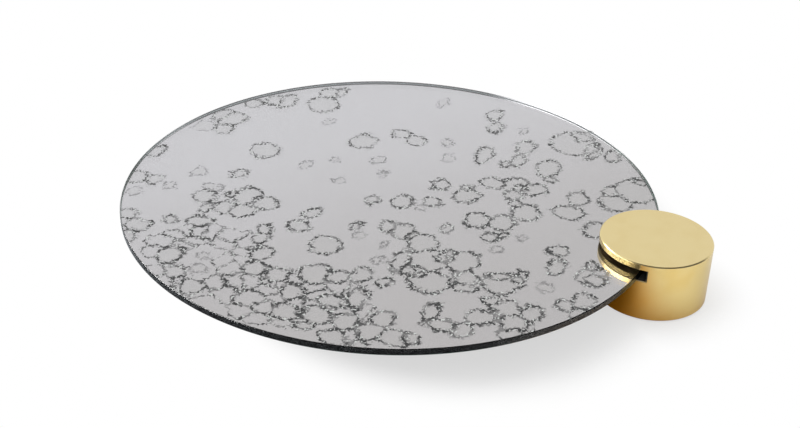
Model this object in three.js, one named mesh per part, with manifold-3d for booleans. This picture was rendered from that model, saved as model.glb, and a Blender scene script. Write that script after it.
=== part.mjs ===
// A round tray: an antiqued mirror disc whose rim lies in the slot of a solid brass cylinder.
// The disc stands on three short feet, screwed to a plate that is bonded to its silvered back.
// Millimetres, +Z up. The table is z = 0, and +X runs from the disc towards the brass block.
// The origin lies on the table, halfway along the tray.

import * as THREE from 'three';
import { mergeVertices } from 'three/addons/utils/BufferGeometryUtils.js';
import Module from 'manifold-3d';

const wasm = await Module();
wasm.setup();

// Mirror disc
const discRadius = 200;
const glassThickness = 5;
const arris = 0.5; // width of the small bevel on the glass's edges
const silveringThickness = 0.4; // silver and its protective paint
const silveringInset = 1; // bare border of glass outside the silvering
const mirrorClearance = 32.5; // from the table to the silvering's underside

// Brass block
const blockRadius = 40;
const blockEdge = 0.8; // bevel round the block's top and foot
const capThickness = 4.7; // brass above the slot
const slotHeadroom = 2.4; // free space above the glass in the slot
const rimPlay = 1.2; // from the glass's rim to the buffer behind it
const bufferThickness = 0.8;
const slotPadThickness = 0.8;
const slotPadGap = 0.3; // the feet carry the disc, just clear of the slot's pad
const slotLiningBorder = 1; // bare brass between the slot's lining and the block's wall
const basePadThickness = 2;
const basePadProud = 0.8; // how far the pad holds the brass off the table
const baseRing = 5; // brass ring outside the pad's recess

// Support under the disc
const plateToBlock = 20; // side gap between the plate and the brass block
const plateThickness = 4;
const plateEdge = 0.6;
const tapeThickness = 1;
const tapeRingInset = 4;
const tapeRingWidth = 18;
const tapeSpotRadius = 40;
const footInset = 35; // from the plate's edge to a foot's centre
const footCount = 3;
const postRadius = 12;
const postEdge = 0.8;
const postFloor = 11; // solid metal under the screw's hole
const footPadThickness = 2;
const footPadRadius = 10.5;

// Countersunk screws
const screwRadius = 2.5;
const screwHeadRadius = 5;
const screwTipGap = 2;
const socketWidth = 3; // across the flats of the hexagon
const socketDepth = 1.4;

const fit = 0.3; // gap round a piece that sits in another one

// Facets round a circle
const discFacets = 180;
const blockFacets = 120;
const footFacets = 48;
const screwFacets = 24;

// Heights, stacked from the table
const silveringZ = mirrorClearance;
const glassZ = silveringZ + silveringThickness;
const glassTopZ = glassZ + glassThickness;
const tapeZ = silveringZ - tapeThickness;
const plateZ = tapeZ - plateThickness;
const slotFloorZ = silveringZ - slotPadGap - slotPadThickness;
const slotRoofZ = glassTopZ + slotHeadroom;
const blockTopZ = slotRoofZ + capThickness;

// Places along X: the glass's rim crosses the block's axis
const discX = -blockRadius / 2;
const blockX = discX + discRadius;
const slotEnd = rimPlay + bufferThickness; // from the block's axis
const plateRadius = discRadius - blockRadius - plateToBlock;
const footCircle = plateRadius - footInset;

const materials = {
  glass: new THREE.MeshStandardMaterial({ color: 0xcfe0da, roughness: 0.03, metalness: 0 }),
  silvering: new THREE.MeshStandardMaterial({ color: 0xc4c4c6, roughness: 0.12, metalness: 0.9 }),
  brass: new THREE.MeshStandardMaterial({ color: 0xd9bd6a, roughness: 0.18, metalness: 1 }),
  lining: new THREE.MeshStandardMaterial({ color: 0x141312, roughness: 0.95, metalness: 0 }),
  tape: new THREE.MeshStandardMaterial({ color: 0x2b2b2d, roughness: 0.9, metalness: 0 }),
  plate: new THREE.MeshStandardMaterial({ color: 0x1d1d1f, roughness: 0.6, metalness: 0.2 }),
  post: new THREE.MeshStandardMaterial({ color: 0x2a2a2c, roughness: 0.45, metalness: 0.6 }),
  screw: new THREE.MeshStandardMaterial({ color: 0x9a9a9c, roughness: 0.35, metalness: 1 }),
  rubber: new THREE.MeshStandardMaterial({ color: 0x1a1a1a, roughness: 0.9, metalness: 0 }),
};

// Shapes

// A body turned about Z. The outline is [radius, z] points, up the outside from the axis to the axis.
function turned(outline, facets) {
  const points = outline.map(([radius, z]) => new THREE.Vector2(radius, z));
  return new THREE.LatheGeometry(points, facets).rotateX(Math.PI / 2);
}

// A round plate from z = low to z = high with a bevel of the given width on both edges.
function roundPlate(radius, low, high, bevel, facets) {
  const outline = [
    [0, low],
    [radius - bevel, low],
    [radius, low + bevel],
    [radius, high - bevel],
    [radius - bevel, high],
    [0, high],
  ];
  return turned(outline, facets);
}

function plainDisc(radius, low, high, facets) {
  return turned([[0, low], [radius, low], [radius, high], [0, high]], facets);
}

function toSolid(geometry) {
  const bare = geometry.clone();
  bare.deleteAttribute('normal');
  bare.deleteAttribute('uv');
  const merged = mergeVertices(bare);
  const mesh = new wasm.Mesh({
    numProp: 3,
    vertProperties: new Float32Array(merged.attributes.position.array),
    triVerts: new Uint32Array(merged.index.array),
  });
  return new wasm.Manifold(mesh);
}

function toGeometry(solid) {
  const mesh = solid.getMesh();
  const geometry = new THREE.BufferGeometry();
  geometry.setAttribute('position', new THREE.BufferAttribute(mesh.vertProperties, 3));
  geometry.setIndex(new THREE.BufferAttribute(mesh.triVerts, 1));
  geometry.computeVertexNormals();
  return geometry;
}

function cut(body, tools) {
  return toGeometry(tools.reduce((solid, tool) => solid.subtract(toSolid(tool)), toSolid(body)));
}

function add(group, name, geometry, material, x = 0, y = 0) {
  const mesh = new THREE.Mesh(geometry, material);
  mesh.name = name;
  mesh.position.set(x, y, 0);
  group.add(mesh);
}

// Mirror disc and its bonding tape

function glassDisc() {
  return roundPlate(discRadius, glassZ, glassTopZ, arris, discFacets);
}

function silvering() {
  return plainDisc(discRadius - silveringInset, silveringZ, glassZ, discFacets);
}

function tapeRing() {
  const outer = plateRadius - tapeRingInset;
  const inner = outer - tapeRingWidth;
  const outline = [
    [inner, tapeZ],
    [outer, tapeZ],
    [outer, silveringZ],
    [inner, silveringZ],
    [inner, tapeZ],
  ];
  return turned(outline, discFacets);
}

function tapeSpot() {
  return plainDisc(tapeSpotRadius, tapeZ, silveringZ, footFacets);
}

// Plate, feet and screws

const footPlaces = Array.from({ length: footCount }, (_, index) => {
  const turn = Math.PI + (index * 2 * Math.PI) / footCount;
  return [footCircle * Math.cos(turn), footCircle * Math.sin(turn)];
});
const headDepth = screwHeadRadius - screwRadius;
const postHoleZ = footPadThickness + postFloor;

function countersink() {
  const outline = [
    [0, plateZ - 1],
    [screwRadius + fit, plateZ - 1],
    [screwRadius + fit, tapeZ - headDepth],
    [screwHeadRadius + fit, tapeZ],
    [screwHeadRadius + fit, tapeZ + 1],
    [0, tapeZ + 1],
  ];
  return turned(outline, screwFacets);
}

function supportPlate() {
  const holes = footPlaces.map(([x, y]) => countersink().translate(x, y, 0));
  return cut(roundPlate(plateRadius, plateZ, tapeZ, plateEdge, discFacets), holes);
}

function footPost() {
  const outline = [
    [0, footPadThickness],
    [postRadius - postEdge, footPadThickness],
    [postRadius, footPadThickness + postEdge],
    [postRadius, plateZ],
    [screwRadius + fit, plateZ],
    [screwRadius + fit, postHoleZ],
    [0, postHoleZ],
  ];
  return turned(outline, footFacets);
}

function footScrew() {
  const tipZ = postHoleZ + screwTipGap;
  const outline = [
    [0, tipZ],
    [screwRadius - plateEdge, tipZ],
    [screwRadius, tipZ + plateEdge],
    [screwRadius, tapeZ - headDepth],
    [screwHeadRadius, tapeZ],
    [0, tapeZ],
  ];
  const socket = new THREE.CylinderGeometry(1, 1, 2 * socketDepth, 6).rotateX(Math.PI / 2);
  const across = socketWidth / Math.sqrt(3);
  socket.scale(across, across, 1).translate(0, 0, tapeZ);
  return cut(turned(outline, screwFacets), [socket]);
}

function footPad() {
  return plainDisc(footPadRadius, 0, footPadThickness, footFacets);
}

// Brass block with its slot, lining and base pad

const recessRadius = blockRadius - baseRing;
const liningRadius = blockRadius - slotLiningBorder;

function brassBlock() {
  const body = roundPlate(blockRadius, basePadProud, blockTopZ, blockEdge, blockFacets);
  const slotLength = blockRadius + slotEnd + 1;
  const slot = new THREE.BoxGeometry(slotLength, 2 * blockRadius + 2, slotRoofZ - slotFloorZ);
  slot.translate(slotEnd - slotLength / 2, 0, (slotFloorZ + slotRoofZ) / 2);
  const recess = plainDisc(recessRadius, 0, basePadThickness, blockFacets);
  return cut(body, [slot, recess]);
}

function slotPad() {
  const end = slotEnd - bufferThickness - fit;
  const turn = Math.acos(end / liningRadius);
  const outline = new THREE.Shape();
  outline.absarc(0, 0, liningRadius, turn, 2 * Math.PI - turn);
  const pad = new THREE.ExtrudeGeometry(outline, {
    depth: slotPadThickness,
    bevelEnabled: false,
    curveSegments: blockFacets / 2,
  });
  return pad.translate(0, 0, slotFloorZ);
}

function slotBuffer() {
  const width = 2 * Math.sqrt(liningRadius ** 2 - slotEnd ** 2);
  const height = slotRoofZ - slotFloorZ - 2 * fit;
  const buffer = new THREE.BoxGeometry(bufferThickness, width, height);
  return buffer.translate(slotEnd - bufferThickness / 2, 0, (slotFloorZ + slotRoofZ) / 2);
}

function basePad() {
  return plainDisc(recessRadius - fit, 0, basePadThickness, blockFacets);
}

// Assembly

const tray = new THREE.Group();
tray.position.set(discX, 0, 0);
add(tray, 'glass_disc', glassDisc(), materials.glass);
add(tray, 'silvering', silvering(), materials.silvering);
add(tray, 'bond_tape_ring', tapeRing(), materials.tape);
add(tray, 'bond_tape_spot', tapeSpot(), materials.tape);
add(tray, 'support_plate', supportPlate(), materials.plate);
footPlaces.forEach(([x, y], index) => {
  const number = index + 1;
  add(tray, `foot_post_${number}`, footPost(), materials.post, x, y);
  add(tray, `foot_screw_${number}`, footScrew(), materials.screw, x, y);
  add(tray, `foot_pad_${number}`, footPad(), materials.rubber, x, y);
});

const block = new THREE.Group();
block.position.set(blockX, 0, 0);
add(block, 'brass_block', brassBlock(), materials.brass);
add(block, 'slot_pad', slotPad(), materials.lining);
add(block, 'slot_buffer', slotBuffer(), materials.lining);
add(block, 'base_pad', basePad(), materials.lining);

const object = new THREE.Group();
object.add(tray, block);

export default object;
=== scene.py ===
import math

import bmesh
import bpy
from mathutils import Matrix, Vector, noise


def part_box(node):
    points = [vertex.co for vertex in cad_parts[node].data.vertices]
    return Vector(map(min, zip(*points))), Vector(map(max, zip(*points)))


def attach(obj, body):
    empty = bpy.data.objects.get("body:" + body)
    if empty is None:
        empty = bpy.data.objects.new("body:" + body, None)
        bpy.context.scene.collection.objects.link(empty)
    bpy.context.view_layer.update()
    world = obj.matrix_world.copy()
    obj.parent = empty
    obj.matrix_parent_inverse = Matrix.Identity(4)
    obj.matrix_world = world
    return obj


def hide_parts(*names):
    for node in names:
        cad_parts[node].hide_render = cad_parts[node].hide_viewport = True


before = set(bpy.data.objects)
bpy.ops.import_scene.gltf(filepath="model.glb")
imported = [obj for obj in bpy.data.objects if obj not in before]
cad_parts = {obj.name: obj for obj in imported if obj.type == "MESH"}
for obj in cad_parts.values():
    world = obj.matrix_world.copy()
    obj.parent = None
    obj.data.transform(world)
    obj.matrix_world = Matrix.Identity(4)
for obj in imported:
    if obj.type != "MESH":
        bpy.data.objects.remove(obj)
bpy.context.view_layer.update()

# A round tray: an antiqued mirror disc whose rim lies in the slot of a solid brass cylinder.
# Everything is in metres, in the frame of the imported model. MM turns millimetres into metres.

MM = 0.001

# Sizes that the frame doesn't give
FIT = 0.3 * MM  # gap round a piece that sits in another one
GLASS_ARRIS = 0.5 * MM
BLOCK_EDGE = 0.8 * MM
SLOT_EDGE = 0.3 * MM  # how far the slot's edges are rounded
POST_EDGE = 0.8 * MM
POST_BORE = 2.8 * MM  # radius of the screw's hole
POST_FLOOR = 11 * MM  # solid metal under that hole
TAPE_WIDTH = 18 * MM
TAPE_EDGE = 0.3 * MM
RUBBER_EDGE = 0.5 * MM
FINE_EDGE = 0.15 * MM  # how far a sharp edge is eased
SILVER_BED = 0.05 * MM  # how deep the silver reaches into the glass, so that no air lies between them

# Steps round a circle
DISC_STEPS = 360
BLOCK_STEPS = 240
FOOT_STEPS = 96

# Felt pads
FELT_SOFT = 0.35  # how far a pad's edge is rounded, as a share of its thickness
FELT_TOP_EDGE = ((0, 1), (0.4, 0.3), (1.3, 0))  # inset and drop, as shares of that rounding
FELT_RINGS = 14  # from a pad's edge to its middle
FELT_BUMPS = 900  # in a metre
FELT_UNEVEN = 0.04  # how deep the bumps are, as a share of the thickness
SLOT_FLOOR_STEPS = 80  # along the pad's arc
SLOT_END_STEPS = (60, 8)  # along the strip and up it

# Camera
CAMERA_AIM = Vector((-12.3, 0.1, 20.0)) * MM
CAMERA_DISTANCE = 984 * MM
CAMERA_AZIMUTH = math.radians(19.17)
CAMERA_ELEVATION = math.radians(30.17)
CAMERA_ROLL = math.radians(2.0)
CAMERA_LENS = 58.5  # in millimetres, as is the sensor's width
CAMERA_SENSOR = 36.0

# Light
WHITE = (1.0, 1.0, 1.0, 1.0)
DIFFUSE_SKY = 0.6  # the sky's brightness in the light that lands on the object
DIM_SIDE = (0.62, -0.62, 0.48)  # towards the studio's unlit side, in front on the right
DIM_SPREAD = (0.15, 0.5)  # where that side starts and is full: cosines of the angle from its middle
DIM_SKY = (0.17, 0.17, 0.18, 1)
LAMP_SIDE = (-0.805, -0.322, 0.499)  # towards the left soft box
LAMP_SPREAD = (0.73, 0.88)  # the same for the soft box
LAMP_IN_GLASS = 2.3  # how bright glass, and so the mirror behind it, shows that part of the sky
FLOOR_RADIUS = 6.0  # in metres
PAPER_TONES = ((0.94, 0.94, 0.94, 1), (0.96, 0.96, 0.96, 1))
FLOOR_WHITE = 0.61  # how much of the floor's look is plain white in the shade
SHADE_MIDDLE = 150.0  # where along X the shade is at its deepest, in millimetres
SHADE_REACH = 40.0  # how far past the tray's edge the shade goes there, in millimetres
SHADE_LEAN = 0.33  # how much less that is for each millimetre to the left
GLOSS_SHADE = (40.0, 150.0)  # as metal and glass show it: where it starts to pale, and its end
# Painted light: a warm tint on the floor, seen only where metal mirrors it, standing in for light thrown by
# the brass
PAINTED_BRASS_GLOW_TONE = (0.95, 0.47, 0.02, 1)
PAINTED_GLOW_OVER_DISC = (65.0, -30.0)  # from the disc's edge: where the glow starts and is full
PAINTED_GLOW_FROM_WALL = (150.0, 60.0)  # the same from the brass's wall
# Painted shade: the floor, white to the eye, is dark grey where metal and glass show it away from the brass
DIM_FLOOR = (0.30, 0.32, 0.34, 1)  # how metal and glass show the floor away from the brass
DIM_FLOOR_RANGE = (90.0, 170.0)  # from the brass's wall: where that starts and is full


# Shape of the pieces

def middle_and_radius(node):
    low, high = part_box(node)
    return Vector(((low.x + high.x) / 2, (low.y + high.y) / 2, 0)), (high.x - low.x) / 2


def eased(outline, size, steps=3):
    """The outline with each inner corner rounded: the arc starts and ends size away from the corner,
    or less where a side is short."""
    side_to_reach = 2.5  # a side is at least this many times as long as an arc's reach on it
    points = [outline[0]]
    for before, corner, after in zip(outline, outline[1:], outline[2:]):
        before, corner, after = Vector(before), Vector(corner), Vector(after)
        shortest = min((before - corner).length, (after - corner).length)
        reach = min(size, shortest / side_to_reach)
        start = corner + (before - corner).normalized() * reach
        end = corner + (after - corner).normalized() * reach
        for step in range(steps + 1):
            t = step / steps
            points.append(tuple((1 - t) ** 2 * start + 2 * t * (1 - t) * corner + t * t * end))
    points.append(outline[-1])
    return points


def finish_mesh(name, mesh_data, materials):
    """An object of the finished bmesh, shaded smooth."""
    bmesh.ops.recalc_face_normals(mesh_data, faces=mesh_data.faces)
    mesh = bpy.data.meshes.new(name)
    mesh_data.to_mesh(mesh)
    mesh_data.free()
    mesh.shade_smooth()
    piece = bpy.data.objects.new(name, mesh)
    bpy.context.scene.collection.objects.link(piece)
    for material in materials:
        mesh.materials.append(material)
    return piece


def keep_flats(piece):
    """Keeps the large faces flat under the smooth shading."""
    weighted = piece.modifiers.new("flat faces", "WEIGHTED_NORMAL")
    weighted.weight = 100
    weighted.keep_sharp = True


def circle_turns(steps):
    return [2 * math.pi * step / steps for step in range(steps)]


def ring_of(mesh_data, centre, radius, height, turns):
    """Points round the vertical through centre at those turns, or a single one on it."""
    if radius == 0:
        return [mesh_data.verts.new((centre.x, centre.y, height))]
    ring = []
    for turn in turns:
        x = centre.x + radius * math.cos(turn)
        y = centre.y + radius * math.sin(turn)
        ring.append(mesh_data.verts.new((x, y, height)))
    return ring


def bridge(mesh_data, lower, upper, steps):
    """Faces between two rings, of which one may be a single point."""
    for step in steps:
        following = step + 1
        corners = [lower[step % len(lower)], lower[following % len(lower)]]
        corners += [upper[following % len(upper)], upper[step % len(upper)]]
        mesh_data.faces.new(list(dict.fromkeys(corners)))


def turned(name, outline, centre, steps, materials):
    """A body turned about the vertical through centre. outline is [radius, height] points in metres,
    up the outside from the axis to the axis, or closed on itself."""
    data = bmesh.new()
    closed = outline[0] == outline[-1]
    points = outline[:-1] if closed else outline
    rings = [ring_of(data, centre, *point, circle_turns(steps)) for point in points]
    pairs = list(zip(rings, rings[1:]))
    if closed:
        pairs.append((rings[-1], rings[0]))
    for lower, upper in pairs:
        bridge(data, lower, upper, range(steps))
    piece = finish_mesh(name, data, materials)
    keep_flats(piece)
    return piece


def felt(name, outline, thickness, place, material):
    """A felt pad: outline is its rim in its own plane, in metres, and place puts it in the frame.
    Its edge is soft and its face is slightly uneven."""
    data = bmesh.new()
    rim = [Vector(point) for point in outline]
    centre = sum(rim, Vector((0, 0))) / len(rim)
    reach = max((point - centre).length for point in rim)
    soft = thickness * FELT_SOFT
    section = [(soft, 0), (0, soft)]
    section += [(soft * inset, thickness - soft * drop) for inset, drop in FELT_TOP_EDGE]
    section += [(reach * step / FELT_RINGS, thickness) for step in range(1, FELT_RINGS)]
    rings = []
    for inset, height in section:
        ring = []
        for point in rim:
            flat = centre + (point - centre) * (1 - inset / reach)
            bumps = Vector((flat.x, flat.y, height)) * FELT_BUMPS
            rough = noise.noise(bumps) * FELT_UNEVEN * thickness
            drop = abs(rough) if height > soft else 0
            ring.append(data.verts.new(place @ Vector((flat.x, flat.y, height - drop))))
        rings.append(ring)
    for lower, upper in zip(rings, rings[1:]):
        bridge(data, lower, upper, range(len(rim)))
    data.faces.new(rings[-1])
    data.faces.new(list(reversed(rings[0])))
    return finish_mesh(name, data, [material])


# Node helpers

def feed(tree, socket, value):
    """Sets a socket to a value, or links it to the socket that feeds it."""
    if isinstance(value, bpy.types.NodeSocket):
        tree.links.new(value, socket)
    else:
        socket.default_value = value


def add(tree, kind, inputs=None, **settings):
    """A new node. inputs maps a socket's name or number to a value, or to the socket that feeds it."""
    made = tree.nodes.new(kind)
    for name, value in settings.items():
        setattr(made, name, value)
    for name, value in (inputs or {}).items():
        feed(tree, made.inputs[name], value)
    return made


def maths(tree, operation, *values):
    return add(tree, "ShaderNodeMath", dict(enumerate(values)), operation=operation).outputs[0]


def lowest(tree, *values):
    """The smallest of the values."""
    result = values[0]
    for value in values[1:]:
        result = maths(tree, "MINIMUM", result, value)
    return result


def highest(tree, *values):
    """The largest of the values."""
    result = values[0]
    for value in values[1:]:
        result = maths(tree, "MAXIMUM", result, value)
    return result


def product(tree, *values):
    result = values[0]
    for value in values[1:]:
        result = maths(tree, "MULTIPLY", result, value)
    return result


def vector_maths(tree, operation, *values):
    made = add(tree, "ShaderNodeVectorMath", dict(enumerate(values)), operation=operation)
    number = operation in ("LENGTH", "DISTANCE", "DOT_PRODUCT")
    return made.outputs["Value" if number else "Vector"]


def fade(tree, value, start, end, low=0.0, high=1.0):
    """low where value is start or before it, high at end and beyond, with a smooth step between."""
    names = ("Value", "From Min", "From Max", "To Min", "To Max")
    inputs = dict(zip(names, (value, start, end, low, high)))
    return add(tree, "ShaderNodeMapRange", inputs, interpolation_type="SMOOTHSTEP").outputs["Result"]


def mixed(tree, factor, first, second):
    """The first colour where factor is 0 and the second where it is 1."""
    made = add(tree, "ShaderNodeMix", {0: factor}, data_type="RGBA")
    colours = [socket for socket in made.inputs if socket.type == "RGBA"]
    for socket, value in zip(colours, (first, second)):
        feed(tree, socket, value)
    return next(socket for socket in made.outputs if socket.type == "RGBA")


def noise_of(tree, place, scale, detail=2.0, roughness=0.5, output="Fac"):
    inputs = {"Vector": place, "Scale": scale, "Detail": detail, "Roughness": roughness}
    return add(tree, "ShaderNodeTexNoise", inputs).outputs[output]


def shaken(tree, place, scale, reach):
    """place moved about by noise, by up to about reach millimetres."""
    colour = noise_of(tree, place, scale, detail=1.0, output="Color")
    moved = vector_maths(tree, "SUBTRACT", colour, (0.5, 0.5, 0.5))
    return vector_maths(tree, "MULTIPLY_ADD", moved, (2 * reach, 2 * reach, 0), place)


def new_material(name):
    """A material, its node tree and its shader."""
    material = bpy.data.materials.new(name)
    material.use_nodes = True
    tree = material.node_tree
    return material, tree, tree.nodes["Principled BSDF"]


def object_place(tree, centre=Vector((0, 0, 0))):
    """Where the surface point is, in millimetres from centre."""
    place = add(tree, "ShaderNodeTexCoord").outputs["Object"]
    return vector_maths(tree, "MULTIPLY", vector_maths(tree, "SUBTRACT", place, centre), (1 / MM,) * 3)


def bump(tree, shader, height, distance):
    """Raises the shader's surface by height times distance, which is in metres."""
    raised = add(tree, "ShaderNodeBump", {"Height": height, "Distance": distance})
    tree.links.new(raised.outputs["Normal"], shader.inputs["Normal"])


NOISE_SPAN = (0.3, 0.7)  # where nearly all values of a noise lie


def grain_surface(tree, shader, grain, tones, roughness, distance):
    """Colour between two tones, and roughness between two values, as the grain goes. The grain also
    raises the surface, by up to distance in metres."""
    tree.links.new(mixed(tree, grain, *tones), shader.inputs["Base Color"])
    tree.links.new(fade(tree, grain, *NOISE_SPAN, *roughness), shader.inputs["Roughness"])
    bump(tree, shader, grain, distance)


# Tarnish on the silver

# Rings of tarnish: x and y from the disc's centre, half the width and half the depth, in millimetres.
# Read off the photograph, laid out flat.
FAR_LEFT_RINGS = [
    (-195, -8, 6, 9), (-118, -17, 5, 7), (-148, 113, 8, 10), (-163, 101, 8, 8), (-138, 116, 8, 13),
    (-108, 124, 12, 16), (-112, 146, 8, 9), (-103, 150, 5, 9), (-28, 96, 7, 7), (-12, 91, 8, 9),
    (-51, 71, 10, 13), (-117, 27, 11, 13), (-165, 66, 11, 12), (-176, 70, 7, 10), (-165, 48, 8, 9),
]
FAR_RIGHT_RINGS = [
    (33, 162, 7, 11), (41, 139, 6, 10), (73, 115, 8, 13), (108, 137, 19, 20), (142, 128, 6, 9),
    (46, 88, 7, 13), (75, 91, 5, 10), (66, 80, 5, 4), (100, 87, 10, 14), (106, 70, 4, 5),
    (66, 47, 9, 8), (82, 51, 9, 11), (98, 49, 10, 9), (86, 33, 8, 7), (102, 14, 11, 13),
    (92, 23, 5, 5), (29, 29, 7, 8), (53, 20, 9, 12), (131, 26, 12, 10), (133, 49, 8, 10),
    (161, 53, 12, 13), (152, 70, 5, 8), (171, 78, 16, 18), (154, 8, 8, 10),
]
NEAR_LEFT_RINGS = [
    (-187, -51, 8, 9), (-173, -50, 6, 8), (-98, -46, 9, 12), (-109, -46, 5, 6), (-126, -57, 9, 9),
    (-106, -67, 8, 9), (-91, -66, 9, 10), (-79, -50, 9, 10), (-117, -72, 4, 7), (-43, -50, 5, 9),
    (-44, -71, 9, 7), (-18, -87, 11, 12), (-65, -84, 6, 7), (-62, -95, 6, 8), (-9, -14, 5, 6),
    (-7, -52, 4, 5), (-112, -92, 9, 7), (-133, -97, 6, 5), (-165, -102, 7, 6), (-152, -113, 9, 9),
    (-151, -132, 7, 8), (-110, -140, 9, 11), (-50, -133, 9, 10), (-31, -133, 9, 9), (-14, -148, 8, 10),
    (-8, -123, 12, 11), (-78, -169, 9, 8), (-53, -113, 8, 9), (-9, -171, 9, 9), (-97, -158, 8, 8),
]
NEAR_RIGHT_RINGS = [
    (12, -8, 7, 9), (32, 0, 7, 7), (55, -31, 4, 5), (72, -12, 9, 12), (89, -8, 9, 10),
    (87, -30, 5, 6), (94, -24, 4, 5), (137, -31, 7, 8), (141, -53, 6, 9), (167, -54, 10, 13),
    (15, -46, 6, 8), (27, -48, 8, 10), (34, -50, 5, 6), (46, -57, 10, 12), (40, -84, 6, 14),
    (56, -78, 14, 15), (79, -70, 11, 13), (65, -103, 14, 13), (88, -88, 8, 8), (90, -101, 9, 6),
    (112, -86, 14, 14), (168, -86, 8, 9), (158, -96, 6, 6), (168, -100, 6, 8), (38, -114, 5, 6),
    (20, -113, 7, 9), (5, -121, 10, 8), (29, -139, 7, 12), (15, -151, 9, 7), (12, -169, 11, 9),
    (8, -183, 6, 5), (31, -168, 9, 9), (31, -187, 9, 8), (53, -156, 7, 8), (50, -171, 9, 9),
    (48, -187, 6, 6), (76, -168, 5, 5), (79, -137, 5, 12), (90, -147, 10, 6), (103, -146, 6, 9),
    (124, -114, 10, 10), (140, -114, 7, 11), (111, -130, 9, 8), (131, -128, 9, 10), (134, -139, 7, 7),
    (111, -109, 5, 5), (66, -172, 10, 8),
]
RINGS = FAR_LEFT_RINGS + FAR_RIGHT_RINGS + NEAR_LEFT_RINGS + NEAR_RIGHT_RINGS

# Smaller rings that lie in or across the edge of the ones above
INNER_RINGS = [
    (112, 153, 9, 9), (125, 130, 6, 14), (88, 46, 5, 6), (51, 32, 6, 5), (172, 95, 5, 6),
    (163, -42, 5, 6), (171, -47, 5, 5), (170, -59, 6, 6), (52, -94, 8, 7), (66, -67, 6, 9),
    (121, -74, 5, 8), (107, -78, 6, 4),
]

# Rings that have only begun to show
FAINT_RINGS = [
    (-149, -25, 6, 7), (-89, 93, 5, 6), (-28, 46, 5, 7), (-60, 35, 4, 5), (-17, 27, 3, 4),
    (-77, 17, 4, 6), (-45, 4, 4, 5), (-181, 46, 8, 9), (-15, 168, 4, 8), (63, 144, 4, 6),
    (12, 97, 4, 5), (22, 73, 4, 7), (-157, -54, 5, 6), (-177, -72, 6, 7), (-127, -43, 7, 4),
    (0, -64, 4, 5), (-84, -149, 5, 5), (-88, -133, 5, 5), (28, -12, 4, 4), (109, -22, 3, 4),
    (95, -45, 4, 5), (140, -80, 5, 6), (26, -91, 4, 5), (22, -70, 3, 4),
]

# Round patches where the tarnish has run together into a foam of cells: x, y, radius
FOAM_CELL = 15.0
FOAM_PATCHES = [
    (-130, -133, 15), (-112, -118, 16), (-92, -105, 17), (-72, -115, 15), (-72, -132, 10),
    (-58, -150, 12), (-48, -165, 20), (-28, -176, 20), (-8, -160, 22), (-35, -150, 15),
    (12, -140, 20), (30, -150, 14), (-75, -172, 14), (-103, -160, 12), (-10, -184, 14),
    (40, -176, 16), (88, -90, 10), (132, -121, 12),
]

FAR_AWAY = 99.0  # in millimetres, where no line is near

# How noise bends the rings: its scale for a millimetre, and its reach in millimetres
WAVES = (0.06, 5.0)
RIPPLES = (0.2, 3.2)
FRAYS = (0.5, 2.6)

# The tiny bubbles that make up every line
LACE_CELL = 3.2
LACE_FRAYS = (0.5, 0.9)
LACE_WALL = (0.22, 0.08)  # where a dark wall starts and is full, in bubbles from its middle

# Where the marks along a line start and are full, in millimetres from it
LACE_BAND = (2.4, 0.9)
BLOT_BAND = (2.4, 0.6)
CORE_BAND = (1.0, 0.5)
BARE_BAND = (2.2, 0.8)
VEIL_BAND = (4.0, 0.0)

# Where they start and are full in the noise that breaks them into specks
SPECK_SCALE = 0.6
SPECK_STRETCH = (1.0, 0.7, 1.0)  # the specks are longer along Y
LACE_SPECKS = (0.42, 0.52)
BLOT_SPECKS = (0.54, 0.58)
CORE_SPECKS = (0.38, 0.46)
BARE_SPECKS = (0.42, 0.37)

# How strong the marks are: from half to full, by the noise that gathers them into clumps
CLUMP_SCALE = 0.13
CLUMPS = (0.38, 0.58, 0.5, 1.0)
FAINT = 0.5  # along a faint ring

# The silver's tone, and how dense its marks are, change across the disc by way of clouds. The tone's
# rise towards one side is a painted reflection: the silver is painted brighter and bluer there
CLOUD_SCALE = 0.02
CLOUD_REACH = 60.0
# painted reflection: the way towards which the silver is painted brighter and bluer
TO_PAINTED_BRIGHT_SIDE = (-0.77, 0.64, 0)
PAINTED_BRIGHTNESS_RANGE = (-160.0, 150.0)  # millimetres from the disc's centre, that way
TO_CLEAN_SIDE = (-0.6, 0.8, 0)  # where the marks are sparse
CLEAN_RANGE = (-100.0, 110.0)
CLEAN_CHANGE = (0.018, -0.041)  # added to the specks' noise at the two ends

# Colours of the silver, and how much of some of them shows. The first is the grey silver painted
# brighter and bluer, a painted reflection on the bright side
SILVER_PAINTED_BRIGHT = (0.637, 0.594, 0.630, 1)
GREY_SILVER = (0.509, 0.465, 0.474, 1)
RING_SILVER = (0.455, 0.430, 0.415, 1)  # inside a ring
RING_SHARE = 0.15
RING_DEPTH = (0.0, -3.0)  # where it starts and is full, in millimetres from the ring's line
VEIL = (0.22, 0.21, 0.20, 1)
VEIL_SHARE = 0.12
BARE_SILVER = (0.67, 0.66, 0.65, 1)
TARNISH = (0.010, 0.010, 0.011, 1)
SILVER_ROUGHNESS = (0.03, 0.4)  # clean and tarnished

# Stains: x, y, radius, and their colour
YELLOW = (0.56, 0.50, 0.34, 1)
GREEN = (0.48, 0.49, 0.40, 1)
RED = (0.50, 0.40, 0.38, 1)
STAIN_SHARE = 0.55
STAIN_CORE = 0.3  # the share of its radius inside which a stain is full
STAINS = [
    (-78, -175, 12, YELLOW), (-83, -122, 6, YELLOW), (96, -166, 26, YELLOW), (-51, 71, 9, GREEN),
    (52, 33, 6, RED), (-111, -53, 6, RED), (105, 71, 6, YELLOW), (95, -45, 6, YELLOW),
    (64, -178, 16, YELLOW),
]


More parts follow.
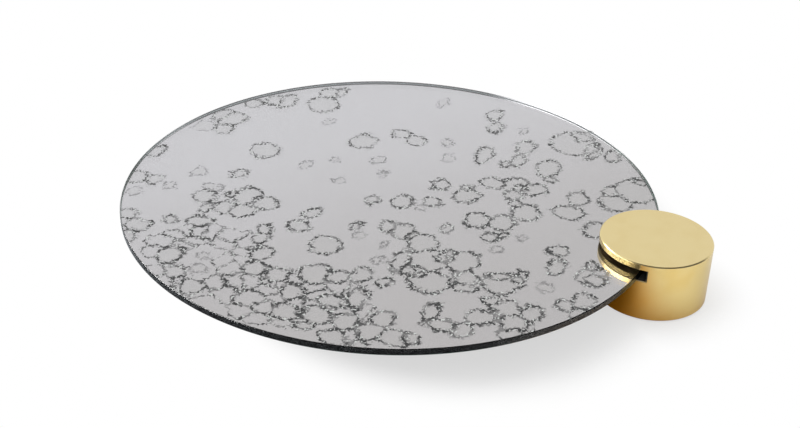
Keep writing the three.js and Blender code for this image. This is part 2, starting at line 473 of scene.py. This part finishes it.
def ring_group():
    """Takes one ring into two running distances: to the outside of the nearest ring, and of the
    second nearest. Both are below zero inside a ring."""
    group = bpy.data.node_groups.new("tarnish ring", "ShaderNodeTree")
    sockets = group.interface
    for name in ("Place", "Scale", "Offset"):
        sockets.new_socket(name, in_out="INPUT", socket_type="NodeSocketVector")
    for name in ("Size", "Minus size", "Nearest", "Second"):
        sockets.new_socket(name, in_out="INPUT", socket_type="NodeSocketFloat")
    for name in ("Nearest", "Second"):
        sockets.new_socket(name, in_out="OUTPUT", socket_type="NodeSocketFloat")
    given = group.nodes.new("NodeGroupInput").outputs
    result = group.nodes.new("NodeGroupOutput").inputs
    scaled = vector_maths(group, "MULTIPLY_ADD", given["Place"], given["Scale"], given["Offset"])
    length = vector_maths(group, "LENGTH", scaled)
    outside = maths(group, "MULTIPLY_ADD", length, given["Size"], given["Minus size"])
    farther = highest(group, outside, given["Nearest"])
    group.links.new(lowest(group, outside, given["Nearest"]), result["Nearest"])
    group.links.new(lowest(group, farther, given["Second"]), result["Second"])
    return group


def ring_distances(tree, group, place, rings):
    """The distance from place to the nearest line of these rings, and to the nearest ring's outside.
    Rings that overlap share one wall, as bubbles do."""
    nearest, second = FAR_AWAY, FAR_AWAY
    for x, y, half_width, half_depth in rings:
        size = min(half_width, half_depth)
        inputs = {
            "Place": place,
            "Scale": (1 / half_width, 1 / half_depth, 0),
            "Offset": (-x / half_width, -y / half_depth, 0),
            "Size": size,
            "Minus size": -size,
            "Nearest": nearest,
            "Second": second,
        }
        made = add(tree, "ShaderNodeGroup", node_tree=group)
        for name, value in inputs.items():
            feed(tree, made.inputs[name], value)
        nearest, second = made.outputs["Nearest"], made.outputs["Second"]
    wall = product(tree, maths(tree, "SUBTRACT", second, nearest), 0.5)
    outside_all = product(tree, maths(tree, "GREATER_THAN", nearest, 0.0), FAR_AWAY)
    wall = maths(tree, "ADD", wall, outside_all)
    return lowest(tree, maths(tree, "ABSOLUTE", nearest), wall), nearest


def foam_distance(tree, place, in_ring):
    """The distance from place to the nearest wall of the foam, and far away outside its patches
    and inside a ring."""
    inputs = {"Vector": place, "Scale": 1 / FOAM_CELL, "Randomness": 1.0}
    walls = add(tree, "ShaderNodeTexVoronoi", inputs, voronoi_dimensions="2D", feature="DISTANCE_TO_EDGE")
    cells = add(tree, "ShaderNodeTexVoronoi", inputs, voronoi_dimensions="2D", feature="F1")
    cell = vector_maths(tree, "MULTIPLY", cells.outputs["Position"], (1, 1, 0))
    outside = FAR_AWAY
    for x, y, radius in FOAM_PATCHES:
        away = maths(tree, "SUBTRACT", vector_maths(tree, "DISTANCE", cell, (x, y, 0)), radius)
        outside = lowest(tree, away, outside)
    bare = highest(tree, maths(tree, "GREATER_THAN", outside, 0.0), maths(tree, "LESS_THAN", in_ring, 0.0))
    return maths(tree, "MULTIPLY_ADD", walls.outputs["Distance"], FOAM_CELL, product(tree, bare, FAR_AWAY))


def clouded(tree, place, clouds, direction):
    """How far place is from the disc's centre in that direction, shifted by the clouds."""
    along = vector_maths(tree, "DOT_PRODUCT", place, direction)
    return maths(tree, "MULTIPLY_ADD", clouds, CLOUD_REACH, along)


def dark_marks(tree, place, dense, lines):
    """How dark the tarnish is, from 0 to 1. dense is the noise that breaks it into specks, and lines
    are the distances to each kind of line, with its strength."""
    heavy = fade(tree, noise_of(tree, place, CLUMP_SCALE, detail=1.0), *CLUMPS)
    inputs = {"Vector": shaken(tree, place, *LACE_FRAYS), "Scale": 1 / LACE_CELL, "Randomness": 1.0}
    lace = add(tree, "ShaderNodeTexVoronoi", inputs, voronoi_dimensions="2D", feature="DISTANCE_TO_EDGE")
    lace_line = fade(tree, lace.outputs["Distance"], *LACE_WALL)
    marks = []
    for distance, strength in lines:
        lacy = product(tree, fade(tree, distance, *LACE_BAND), lace_line, fade(tree, dense, *LACE_SPECKS))
        blots = product(tree, fade(tree, distance, *BLOT_BAND), fade(tree, dense, *BLOT_SPECKS))
        core = product(tree, fade(tree, distance, *CORE_BAND), fade(tree, dense, *CORE_SPECKS))
        marks.append(product(tree, highest(tree, lacy, blots, core), heavy, strength))
    return highest(tree, *marks)


def silver_tone(tree, ragged, painted_bright, inside, line):
    """The silver's colour, painted brighter towards one side as a painted reflection, with that of its
    rings, its stains and the veil along its lines.
    """
    # painted reflection: the grey silver is painted brighter and bluer towards one side
    tone = mixed(tree, painted_bright, GREY_SILVER, SILVER_PAINTED_BRIGHT)
    tone = mixed(tree, fade(tree, inside, *RING_DEPTH, 0.0, RING_SHARE), tone, RING_SILVER)
    for x, y, radius, colour in STAINS:
        away = vector_maths(tree, "DISTANCE", ragged, (x, y, 0))
        stained = fade(tree, away, radius, STAIN_CORE * radius, 0.0, STAIN_SHARE)
        tone = mixed(tree, stained, tone, colour)
    return mixed(tree, fade(tree, line, *VEIL_BAND, 0.0, VEIL_SHARE), tone, VEIL)


def silver_material(centre):
    """Grey silver. Its tarnish lines are a lace of tiny bubbles, broken into dark and bare specks."""
    material, tree, shader = new_material("antiqued silver")
    place = object_place(tree, centre)
    ragged = place
    for scale, reach in (WAVES, RIPPLES, FRAYS):
        ragged = shaken(tree, ragged, scale, reach)
    group = ring_group()
    ring_line, in_ring = ring_distances(tree, group, ragged, RINGS)
    inner_line, in_inner = ring_distances(tree, group, ragged, INNER_RINGS)
    faint_line, in_faint = ring_distances(tree, group, ragged, FAINT_RINGS)
    line = lowest(tree, ring_line, inner_line, foam_distance(tree, ragged, in_ring))
    inside = lowest(tree, in_ring, in_inner, in_faint)

    clouds = maths(tree, "SUBTRACT", noise_of(tree, place, CLOUD_SCALE, detail=3.0), 0.5)
    # how far the silver is painted brighter here: a painted reflection, not its own tone
    painted_bright = fade(tree, clouded(tree, place, clouds, TO_PAINTED_BRIGHT_SIDE), *PAINTED_BRIGHTNESS_RANGE)
    to_clean = fade(tree, clouded(tree, place, clouds, TO_CLEAN_SIDE), *CLEAN_RANGE, *CLEAN_CHANGE)
    stretched = vector_maths(tree, "MULTIPLY", place, SPECK_STRETCH)
    specks = noise_of(tree, stretched, SPECK_SCALE, detail=2.0, roughness=0.6)
    dense = maths(tree, "ADD", specks, to_clean)

    dark = dark_marks(tree, place, dense, [(line, 1.0), (faint_line, FAINT)])
    bare = product(tree, fade(tree, line, *BARE_BAND), fade(tree, specks, *BARE_SPECKS))
    tone = silver_tone(tree, ragged, painted_bright, inside, line)
    tone = mixed(tree, bare, tone, BARE_SILVER)
    tone = mixed(tree, dark, tone, TARNISH)
    tree.links.new(tone, shader.inputs["Base Color"])
    shader.inputs["Metallic"].default_value = 1.0
    tree.links.new(fade(tree, dark, 0.0, 1.0, *SILVER_ROUGHNESS), shader.inputs["Roughness"])
    return material


# Other materials

def glass_material():
    """Clear glass, greenish in the thick, with the faint waves of an old sheet."""
    material, tree, shader = new_material("float glass")
    shader.inputs["Transmission Weight"].default_value = 1.0
    shader.inputs["Roughness"].default_value = 0.0
    shader.inputs["IOR"].default_value = 1.46
    shader.inputs["Base Color"].default_value = WHITE
    waves = noise_of(tree, object_place(tree), scale=0.02, detail=1.0)
    bump(tree, shader, waves, 0.004 * MM)
    absorb = add(tree, "ShaderNodeVolumeAbsorption", {"Color": (0.70, 0.90, 0.84, 1), "Density": 25.0})
    tree.links.new(absorb.outputs["Volume"], tree.nodes["Material Output"].inputs["Volume"])
    return material


def edge_seal_material():
    """The grey lacquer that keeps damp off the silver's edge, on the glass's bare back border."""
    material, tree, shader = new_material("edge seal")
    runs = noise_of(tree, object_place(tree), scale=0.8, detail=3.0)
    tones = ((0.20, 0.25, 0.235, 1), (0.27, 0.32, 0.30, 1))
    grain_surface(tree, shader, runs, tones, (0.45, 0.6), 0.03 * MM)
    return material


def back_paint_material():
    material, tree, shader = new_material("back paint")
    peel = noise_of(tree, object_place(tree), scale=0.35, detail=2.0)
    tones = ((0.030, 0.034, 0.032, 1), (0.045, 0.050, 0.047, 1))
    grain_surface(tree, shader, peel, tones, (0.45, 0.6), 0.05 * MM)
    return material


TURNING_MARKS = (0.4, 0.4, 9.0)  # how many noise cells lie in a millimetre along each axis
WALL_TONES = ((0.79, 0.59, 0.225, 1), (0.81, 0.635, 0.275, 1))
# painted sheen: the top's tones are paler and greyer than the wall's, standing in for the sky it mirrors
SHEEN_PAINTED_TOP_TONES = ((0.705, 0.57, 0.28, 1), (0.72, 0.59, 0.30, 1))
SLOT_TONES = ((0.60, 0.44, 0.20, 1), (0.66, 0.50, 0.25, 1))


def brass_material(name, centre, tones, roughness, turning=0.0, metallic=1.0):
    """Brass with very fine turning marks. tones are its colour, cloudy between two, roughness its
    lowest and highest, and turning how much the marks spread a reflection up and down."""
    material, tree, shader = new_material(name)
    place = object_place(tree, centre)
    clouds = noise_of(tree, place, scale=0.05, detail=2.0)
    tree.links.new(mixed(tree, fade(tree, clouds, 0.3, 0.6), *tones), shader.inputs["Base Color"])
    shader.inputs["Metallic"].default_value = metallic
    shader.inputs["Anisotropic"].default_value = turning
    shader.inputs["Anisotropic Rotation"].default_value = 0.25
    along = add(tree, "ShaderNodeTangent", direction_type="RADIAL", axis="Z").outputs["Tangent"]
    tree.links.new(along, shader.inputs["Tangent"])
    marks = noise_of(tree, vector_maths(tree, "MULTIPLY", place, TURNING_MARKS), scale=1.0, detail=3.0)
    tree.links.new(fade(tree, marks, *NOISE_SPAN, *roughness), shader.inputs["Roughness"])
    bump(tree, shader, marks, 0.002 * MM)
    return material


def felt_material():
    material, tree, shader = new_material("black felt")
    fibres = noise_of(tree, object_place(tree), scale=1.8, detail=4.0, roughness=0.7)
    tone = mixed(tree, fibres, (0.004, 0.004, 0.004, 1), (0.020, 0.018, 0.017, 1))
    tree.links.new(tone, shader.inputs["Base Color"])
    shader.inputs["Roughness"].default_value = 0.95
    shader.inputs["Sheen Weight"].default_value = 0.1
    shader.inputs["Sheen Roughness"].default_value = 0.6
    bump(tree, shader, fibres, 0.15 * MM)
    return material


def foam_tape_material():
    material, tree, shader = new_material("foam tape")
    cells = add(tree, "ShaderNodeTexVoronoi", {"Vector": object_place(tree), "Scale": 3.0})
    depth = cells.outputs["Distance"]
    tone = mixed(tree, depth, (0.022, 0.022, 0.024, 1), (0.05, 0.05, 0.053, 1))
    tree.links.new(tone, shader.inputs["Base Color"])
    shader.inputs["Roughness"].default_value = 0.9
    bump(tree, shader, depth, 0.08 * MM)
    return material


def powder_coat_material():
    material, tree, shader = new_material("black powder coat")
    grain = noise_of(tree, object_place(tree), scale=1.6, detail=3.0, roughness=0.6)
    tones = ((0.012, 0.012, 0.013, 1), (0.030, 0.030, 0.032, 1))
    grain_surface(tree, shader, grain, tones, (0.5, 0.68), 0.06 * MM)
    return material


def anodised_material(centre):
    """Black metal with the grooves of the lathe."""
    material, tree, shader = new_material("black anodised")
    place = vector_maths(tree, "MULTIPLY", object_place(tree, centre), (0.05, 0.05, 5.0))
    grooves = noise_of(tree, place, scale=1.0, detail=2.0)
    tones = ((0.02, 0.02, 0.022, 1), (0.045, 0.045, 0.05, 1))
    grain_surface(tree, shader, grooves, tones, (0.3, 0.46), 0.02 * MM)
    shader.inputs["Metallic"].default_value = 0.85
    return material


def steel_material():
    material, tree, shader = new_material("screw steel")
    wear = noise_of(tree, object_place(tree), scale=1.2, detail=4.0)
    tones = ((0.42, 0.42, 0.43, 1), (0.62, 0.62, 0.63, 1))
    grain_surface(tree, shader, wear, tones, (0.28, 0.45), 0.01 * MM)
    shader.inputs["Metallic"].default_value = 1.0
    return material


def rubber_material():
    material, tree, shader = new_material("black rubber")
    grain = noise_of(tree, object_place(tree), scale=2.5, detail=3.0)
    tones = ((0.012, 0.012, 0.012, 1), (0.028, 0.028, 0.028, 1))
    grain_surface(tree, shader, grain, tones, (0.7, 0.9), 0.03 * MM)
    return material


# Mirror disc

def make_glass():
    centre, radius = middle_and_radius("glass_disc")
    low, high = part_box("glass_disc")
    outline = [
        (0, low.z),
        (radius - GLASS_ARRIS, low.z),
        (radius, low.z + GLASS_ARRIS),
        (radius, high.z - GLASS_ARRIS),
        (radius - GLASS_ARRIS, high.z),
        (0, high.z),
    ]
    sealed = middle_and_radius("silvering")[1]
    outline = [(0, low.z), (sealed, low.z)] + eased(outline, FINE_EDGE)[1:]
    materials = [glass_material(), edge_seal_material()]
    glass = turned("mirror_glass", outline, centre, DISC_STEPS, materials)
    for face in glass.data.polygons:
        off_centre = (face.center - centre).to_2d().length
        if off_centre > sealed and face.center.z < low.z + GLASS_ARRIS / 3:
            face.material_index = 1
    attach(glass, "tray")
    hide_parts("glass_disc")


def make_silver():
    centre, radius = middle_and_radius("silvering")
    low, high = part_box("silvering")
    top = high.z + SILVER_BED
    outline = [(0, low.z), (radius, low.z), (radius, top), (0, top)]
    materials = [back_paint_material(), silver_material(centre)]
    silver = turned("mirror_silver", outline, centre, DISC_STEPS, materials)
    for face in silver.data.polygons:
        face.use_smooth = False
        face.material_index = 1 if face.normal.z > 0.5 else 0
    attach(silver, "tray")
    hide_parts("silvering")


def make_tapes():
    material = foam_tape_material()
    centre, radius = middle_and_radius("bond_tape_spot")
    low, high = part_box("bond_tape_spot")
    outline = [(0, low.z), (radius, low.z), (radius, high.z), (0, high.z)]
    spot = turned("tape_spot", eased(outline, TAPE_EDGE), centre, FOOT_STEPS, [material])
    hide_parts("bond_tape_spot")
    centre, radius = middle_and_radius("bond_tape_ring")
    inner = radius - TAPE_WIDTH
    outline = [
        (inner + TAPE_EDGE, low.z),
        (radius - TAPE_EDGE, low.z),
        (radius, low.z + TAPE_EDGE),
        (radius, high.z - TAPE_EDGE),
        (radius - TAPE_EDGE, high.z),
        (inner + TAPE_EDGE, high.z),
        (inner, high.z - TAPE_EDGE),
        (inner, low.z + TAPE_EDGE),
        (inner + TAPE_EDGE, low.z),
    ]
    ring = turned("tape_ring", outline, centre, DISC_STEPS, [material])
    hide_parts("bond_tape_ring")
    for tape in (spot, ring):
        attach(tape, "tray")


# Plate, feet and screws

def dress(node, material):
    """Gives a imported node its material."""
    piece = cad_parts[node]
    piece.data.materials.clear()
    piece.data.materials.append(material)


def make_post(number):
    centre, radius = middle_and_radius(f"foot_post_{number}")
    low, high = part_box(f"foot_post_{number}")
    floor = low.z + POST_FLOOR
    outline = [
        (0, low.z),
        (radius - POST_EDGE, low.z),
        (radius, low.z + POST_EDGE),
        (radius, high.z),
        (POST_BORE, high.z),
        (POST_BORE, floor),
        (0, floor),
    ]
    material = anodised_material(centre)
    post = turned(f"post_{number}", eased(outline, FINE_EDGE), centre, FOOT_STEPS, [material])
    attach(post, "tray")
    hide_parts(f"foot_post_{number}")


def make_foot_pad(number, material):
    centre, radius = middle_and_radius(f"foot_pad_{number}")
    low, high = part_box(f"foot_pad_{number}")
    outline = [(0, low.z), (radius, low.z), (radius, high.z), (0, high.z)]
    pad = turned(f"pad_{number}", eased(outline, RUBBER_EDGE), centre, FOOT_STEPS, [material])
    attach(pad, "tray")
    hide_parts(f"foot_pad_{number}")


def make_feet():
    steel = steel_material()
    rubber = rubber_material()
    for number in (1, 2, 3):
        make_post(number)
        make_foot_pad(number, rubber)
        dress(f"foot_screw_{number}", steel)
    dress("support_plate", powder_coat_material())


# Brass block with its lining

SIDE_LEAN = 0.2  # a face of the block that leans up or down by more isn't its wall


def block_turns(slot_end, radius):
    """The steps round the block, spaced so that one falls on each side of the slot's end, and how
    many of them, the first ones, run along the wall behind the slot."""
    turn = math.acos(slot_end / radius)
    walled = round(BLOCK_STEPS * turn / math.pi)
    open_steps = BLOCK_STEPS - walled
    turns = [turn * (2 * step / walled - 1) for step in range(walled)]
    turns += [turn + 2 * (math.pi - turn) * step / open_steps for step in range(open_steps)]
    return turns, walled


def block_mesh(centre, under_slot, over_slot, turns, walled):
    """The block's two turned halves, joined by the wall behind the slot."""
    data = bmesh.new()
    under = [ring_of(data, centre, *point, turns) for point in eased(under_slot, FINE_EDGE)]
    over = [ring_of(data, centre, *point, turns) for point in eased(over_slot, FINE_EDGE)]
    for rings in (under, over):
        for lower, upper in zip(rings, rings[1:]):
            bridge(data, lower, upper, range(BLOCK_STEPS))
    floor, roof = under[-1], over[0]
    bridge(data, floor, roof, range(walled))
    data.faces.new(floor[walled:] + [floor[0]])
    data.faces.new(list(reversed(roof[walled:] + [roof[0]])))
    data.faces.new([floor[0], floor[walled], roof[walled], roof[0]])
    return data


def ease_slot_edges(block):
    easing = block.modifiers.new("slot edges", "BEVEL")
    easing.width = SLOT_EDGE
    easing.segments = 3
    easing.limit_method = "ANGLE"
    easing.angle_limit = math.radians(50)


def make_block():
    centre, radius = middle_and_radius("brass_block")
    low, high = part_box("brass_block")
    recess = middle_and_radius("base_pad")[1] + FIT
    recess_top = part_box("base_pad")[1].z
    slot_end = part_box("slot_buffer")[1].x - centre.x
    slot_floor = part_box("slot_pad")[0].z
    slot_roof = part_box("slot_buffer")[1].z + FIT
    under_slot = [
        (0, recess_top),
        (recess, recess_top),
        (recess, low.z),
        (radius - BLOCK_EDGE, low.z),
        (radius, low.z + BLOCK_EDGE),
        (radius, slot_floor),
    ]
    over_slot = [
        (radius, slot_roof),
        (radius, high.z - BLOCK_EDGE),
        (radius - BLOCK_EDGE, high.z),
        (0, high.z),
    ]
    data = block_mesh(centre, under_slot, over_slot, *block_turns(slot_end, radius))

    wall = brass_material("turned brass", centre, WALL_TONES, (0.20, 0.26), turning=0.6)
    # the flat faces get a smoother polish and the paler tones of a painted sheen
    flat = brass_material("polished brass with painted sheen", centre, SHEEN_PAINTED_TOP_TONES, (0.17, 0.24))
    milled = brass_material("milled brass", centre, SLOT_TONES, (0.55, 0.70), metallic=0.3)
    block = finish_mesh("brass_cylinder", data, [wall, flat, milled])
    end_of_slot = centre.x + slot_end + FINE_EDGE
    for face in block.data.polygons:
        in_slot = slot_floor - FINE_EDGE < face.center.z < slot_roof + FINE_EDGE
        if in_slot and face.center.x < end_of_slot:
            face.material_index = 2
        elif abs(face.normal.z) > SIDE_LEAN:
            face.material_index = 1
    ease_slot_edges(block)
    keep_flats(block)
    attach(block, "block")
    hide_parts("brass_block")


def on_circle(radius, turns):
    return [(radius * math.cos(turn), radius * math.sin(turn)) for turn in turns]


def arc_rim(radius, chord):
    """The rim of a disc that is cut off straight at x = chord, with no points on the cut."""
    start = math.acos(chord / radius)
    whole = 2 * math.pi - 2 * start
    steps = range(SLOT_FLOOR_STEPS + 1)
    return on_circle(radius, [start + whole * step / SLOT_FLOOR_STEPS for step in steps])


def strip_rim(width, height):
    """The rim of a rectangle, with points along all four sides."""
    long_steps, short_steps = SLOT_END_STEPS
    along = [width * step / long_steps for step in range(long_steps)]
    shares = [step / short_steps for step in range(short_steps)]
    rim = [(x, 0) for x in along] + [(width, height * share) for share in shares]
    rim += [(width - x, height) for x in along] + [(0, height * (1 - share)) for share in shares]
    return rim


def make_lining():
    material = felt_material()
    centre = middle_and_radius("brass_block")[0]
    low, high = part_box("slot_pad")
    rim = arc_rim(centre.x - low.x, high.x - centre.x)
    place = Matrix.Translation((centre.x, centre.y, low.z))
    slot_floor = felt("felt_slot_floor", rim, high.z - low.z, place, material)
    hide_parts("slot_pad")

    # The strip at the slot's end stands on edge, with its face towards the glass
    low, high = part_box("slot_buffer")
    rim = strip_rim(high.y - low.y, high.z - low.z)
    place = Matrix(((0, 0, -1, high.x), (-1, 0, 0, high.y), (0, 1, 0, low.z), (0, 0, 0, 1)))
    slot_end = felt("felt_slot_end", rim, high.x - low.x, place, material)
    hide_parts("slot_buffer")

    # The pad in the block's foot faces down
    centre, radius = middle_and_radius("base_pad")
    low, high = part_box("base_pad")
    rim = on_circle(radius, circle_turns(BLOCK_STEPS))
    place = Matrix.Translation((centre.x, centre.y, high.z)) @ Matrix.Rotation(math.pi, 4, "X")
    base = felt("felt_base", rim, high.z - low.z, place, material)
    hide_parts("base_pad")
    for piece in (slot_floor, slot_end, base):
        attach(piece, "block")


make_glass()
make_silver()
make_tapes()
make_feet()
make_block()
make_lining()


# Studio

def seen_directly(tree):
    """1 for camera, glossy and transmission rays, and 0 for the light that lands on the object."""
    path = add(tree, "ShaderNodeLightPath").outputs
    return highest(tree, path["Is Camera Ray"], path["Is Glossy Ray"], path["Is Transmission Ray"])


def make_world():
    """White all round, but for the unlit side, and brighter by the left soft box as glass shows it."""
    world = bpy.data.worlds.new("studio")
    bpy.context.scene.world = world
    world.use_nodes = True
    tree = world.node_tree
    tree.nodes.clear()
    ahead = add(tree, "ShaderNodeTexCoord").outputs["Generated"]
    unlit = fade(tree, vector_maths(tree, "DOT_PRODUCT", ahead, DIM_SIDE), *DIM_SPREAD)
    sky = mixed(tree, unlit, WHITE, DIM_SKY)
    by_lamp = fade(tree, vector_maths(tree, "DOT_PRODUCT", ahead, LAMP_SIDE), *LAMP_SPREAD)
    through = add(tree, "ShaderNodeLightPath").outputs["Is Transmission Ray"]
    strength = fade(tree, product(tree, through, by_lamp), 0.0, 1.0, 1.0, LAMP_IN_GLASS)
    seen = add(tree, "ShaderNodeBackground", {"Color": sky, "Strength": strength})
    lit = add(tree, "ShaderNodeBackground", {"Color": WHITE, "Strength": DIFFUSE_SKY})
    pick = add(tree, "ShaderNodeMixShader", {0: seen_directly(tree), 1: lit.outputs[0], 2: seen.outputs[0]})
    output = add(tree, "ShaderNodeOutputWorld")
    tree.links.new(pick.outputs[0], output.inputs["Surface"])


def from_edge(tree, place, node):
    """How far a place on the floor is from the edge of a round node, in millimetres."""
    centre, radius = middle_and_radius(node)
    return maths(tree, "SUBTRACT", vector_maths(tree, "DISTANCE", place, centre / MM), radius / MM)


def make_floor():
    """White paper. What mirrors it shows a painted warm glow by the brass, standing in for the light the
    brass throws, and what mirrors or refracts it a painted dark grey shade away from the brass."""
    material, tree, shader = new_material("white floor")
    place = vector_maths(tree, "MULTIPLY", object_place(tree), (1, 1, 0))
    path = add(tree, "ShaderNodeLightPath").outputs
    from_disc = from_edge(tree, place, "glass_disc")
    from_block = from_edge(tree, place, "brass_block")
    tone = mixed(tree, noise_of(tree, place, scale=0.3, detail=2.0), *PAPER_TONES)
    painted_glow = product(tree, fade(tree, from_disc, *PAINTED_GLOW_OVER_DISC), fade(tree, from_block, *PAINTED_GLOW_FROM_WALL))
    # painted light: the warm glow goes into the floor's colour only for mirrored rays
    tone = mixed(tree, product(tree, path["Is Glossy Ray"], painted_glow), tone, PAINTED_BRASS_GLOW_TONE)
    mirrored = highest(tree, path["Is Glossy Ray"], path["Is Transmission Ray"])
    # painted shade: mirrored and refracted rays see the floor dark grey away from the brass
    tone = mixed(tree, product(tree, mirrored, fade(tree, from_block, *DIM_FLOOR_RANGE)), tone, DIM_FLOOR)
    tree.links.new(tone, shader.inputs["Base Color"])
    shader.inputs["Roughness"].default_value = 0.9
    shader.inputs["Specular IOR Level"].default_value = 0.0
    white = add(tree, "ShaderNodeEmission", {"Color": WHITE, "Strength": 1.0})

    # Away from the tray, and more so on its lit left, the floor's own shade gives way to white
    away = lowest(tree, from_disc, from_block)
    across = add(tree, "ShaderNodeSeparateXYZ", {0: place}).outputs["X"]
    leftward = highest(tree, maths(tree, "SUBTRACT", SHADE_MIDDLE, across), 0.0)
    slanted = maths(tree, "MULTIPLY_ADD", leftward, SHADE_LEAN, away)
    straight = product(tree, path["Is Camera Ray"], fade(tree, slanted, 0.0, SHADE_REACH, FLOOR_WHITE, 1.0))
    share = highest(tree, straight, product(tree, mirrored, fade(tree, away, *GLOSS_SHADE)))
    pick = add(tree, "ShaderNodeMixShader", {0: share, 1: shader.outputs[0], 2: white.outputs[0]})
    tree.links.new(pick.outputs[0], tree.nodes["Material Output"].inputs["Surface"])
    data = bmesh.new()
    bmesh.ops.create_circle(data, cap_ends=True, segments=64, radius=FLOOR_RADIUS)
    finish_mesh("floor", data, [material])


def soft_box(name, place, width, height, watts, dying):
    """A lamp at place, of that width and height in metres, that faces the tray. It dies away at its
    two ends, each over the share dying of its width. It doesn't show through glass."""
    lamp = bpy.data.lights.new(name, "AREA")
    lamp.shape = "RECTANGLE"
    lamp.size = width
    lamp.size_y = height
    lamp.energy = watts
    lamp.use_nodes = True
    tree = lamp.node_tree
    spot = add(tree, "ShaderNodeNewGeometry").outputs["Parametric"]
    across = add(tree, "ShaderNodeSeparateXYZ", {0: spot}).outputs["X"]
    from_end = lowest(tree, across, maths(tree, "SUBTRACT", 1.0, across))
    tree.links.new(fade(tree, from_end, 0.0, dying), tree.nodes["Emission"].inputs["Strength"])
    holder = bpy.data.objects.new(name, lamp)
    holder.visible_transmission = False
    holder.location = place
    holder.rotation_euler = (CAMERA_AIM - Vector(place)).to_track_quat("-Z", "Y").to_euler()
    bpy.context.scene.collection.objects.link(holder)


def make_camera():
    azimuth, elevation, roll = CAMERA_AZIMUTH, CAMERA_ELEVATION, CAMERA_ROLL
    ahead = Vector((
        -math.sin(azimuth) * math.cos(elevation),
        math.cos(azimuth) * math.cos(elevation),
        -math.sin(elevation),
    ))
    level = Vector((math.cos(azimuth), math.sin(azimuth), 0))
    upright = level.cross(ahead)
    right = math.cos(roll) * level + math.sin(roll) * upright
    up = math.cos(roll) * upright - math.sin(roll) * level
    data = bpy.data.cameras.new("camera")
    data.lens = CAMERA_LENS
    data.sensor_width = CAMERA_SENSOR
    camera = bpy.data.objects.new("camera", data)
    turn = Matrix((right, up, -ahead)).transposed().to_4x4()
    camera.matrix_world = Matrix.Translation(CAMERA_AIM - ahead * CAMERA_DISTANCE) @ turn
    bpy.context.scene.collection.objects.link(camera)
    bpy.context.scene.camera = camera


make_world()
make_floor()
soft_box("left soft box", (-1.0, -0.4, 0.62), width=2.4, height=0.5, watts=30, dying=0.25)
soft_box("top soft box", (0.1, 0.3, 2.0), width=1.8, height=1.8, watts=9, dying=0.01)
make_camera()
bpy.context.scene.view_settings.view_transform = "Standard"
